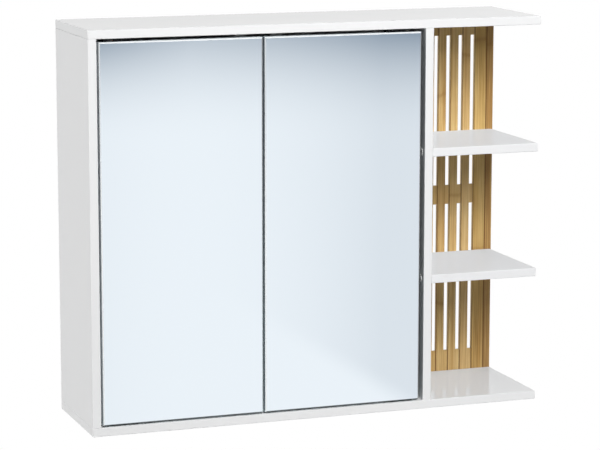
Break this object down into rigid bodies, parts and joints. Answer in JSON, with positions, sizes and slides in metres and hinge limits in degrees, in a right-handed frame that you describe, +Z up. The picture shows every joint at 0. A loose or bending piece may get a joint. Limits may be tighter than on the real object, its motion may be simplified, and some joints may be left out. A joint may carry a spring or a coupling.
{
  "type": "bathroom mirror cabinet",
  "caption": "Wall-hung white cabinet with flush mirror doors over a closed bay and open shelves in front of a slotted bamboo panel beside it.",
  "frame": {"origin": "on the wall plane, midway between the two upper wall-screw holes", "axes": "+X to the right seen from the front, +Y into the wall, +Z up"},
  "size_m": [0.655, 0.17, 0.55],
  "materials": {
    "white_lacquer": "white semi-gloss lacquer on fibreboard",
    "bamboo": "clear-lacquered edge-glued bamboo strips",
    "white_hardboard": "white-faced hardboard",
    "beech": "fluted beech dowel",
    "white_plastic": "moulded, fine matt",
    "zinc": "bright zinc casting",
    "steel": "zinc-plated steel",
    "black_steel": "black-coated steel",
    "nylon": "natural nylon",
    "magnet": "nickel-plated",
    "mirror_glass": "silvered float glass with ground edges",
    "foam_tape": "closed-cell foam",
    "soft_pad": "soft clear-grey rubber"
  },
  "bodies": {
    "carcass": {"back_panel": "white_hardboard", "back_panel_nails": "steel", "bamboo_panel": "bamboo", "bamboo_screws": "steel", "bottom_panel": "white_lacquer", "cam_bolts": "zinc", "cam_locks": "zinc", "centre_divider": "white_lacquer", "door_stop": "white_plastic", "door_stop_pad": "soft_pad", "door_stop_screws": "steel", "dowels": "beech", "fixed_pivot_plates": "black_steel", "fixed_pivot_screws": "black_steel", "hanging_rail": "white_lacquer", "latch_screws": "steel", "left_latch_housing": "white_plastic", "left_side_panel": "white_lacquer", "lower_inner_shelf": "white_lacquer", "lower_open_shelf": "white_lacquer", "lower_rail": "white_lacquer", "open_shelf_screws": "steel", "right_latch_housing": "white_plastic", "screw_caps": "white_plastic", "shelf_supports": "white_plastic", "top_panel": "white_lacquer", "upper_inner_shelf": "white_lacquer", "upper_open_shelf": "white_lacquer"},
    "left_door": {"left_door_board": "white_lacquer", "left_mirror": "mirror_glass", "left_mirror_tape": "foam_tape", "left_pivot_plates": "black_steel", "left_pivot_pins": "steel", "left_thrust_washers": "nylon", "left_pivot_screws": "black_steel", "left_strike_plate": "steel", "left_strike_screw": "steel"},
    "right_door": {"right_door_board": "white_lacquer", "right_mirror": "mirror_glass", "right_mirror_tape": "foam_tape", "right_pivot_plates": "black_steel", "right_pivot_pins": "steel", "right_thrust_washers": "nylon", "right_pivot_screws": "black_steel", "right_strike_plate": "steel", "right_strike_screw": "steel"},
    "left_latch": {"left_latch_plunger": "white_plastic", "left_latch_magnet": "magnet"},
    "right_latch": {"right_latch_plunger": "white_plastic", "right_latch_magnet": "magnet"}
  },
  "joints": [
    {"name": "left_door_swing", "type": "hinge", "parent": "carcass", "child": "left_door", "pos_m": [-0.2135, -0.1607, 0], "axis": [0, 0, -1], "range_deg": [0, 105]},
    {"name": "right_door_swing", "type": "hinge", "parent": "carcass", "child": "right_door", "pos_m": [0.21, -0.1607, 0], "axis": [0, 0, 1], "range_deg": [0, 105]},
    {"name": "left_latch_slide", "type": "slide", "parent": "carcass", "child": "left_latch", "axis": [0, -1, 0], "range_m": [0, 0.012]},
    {"name": "right_latch_slide", "type": "slide", "parent": "carcass", "child": "right_latch", "axis": [0, -1, 0], "range_m": [0, 0.012]}
  ],
  "couplings": [
    {"joint": "left_latch_slide", "follows": "left_door_swing", "m_per_rad": 0.006548},
    {"joint": "right_latch_slide", "follows": "right_door_swing", "m_per_rad": 0.006548}
  ]
}
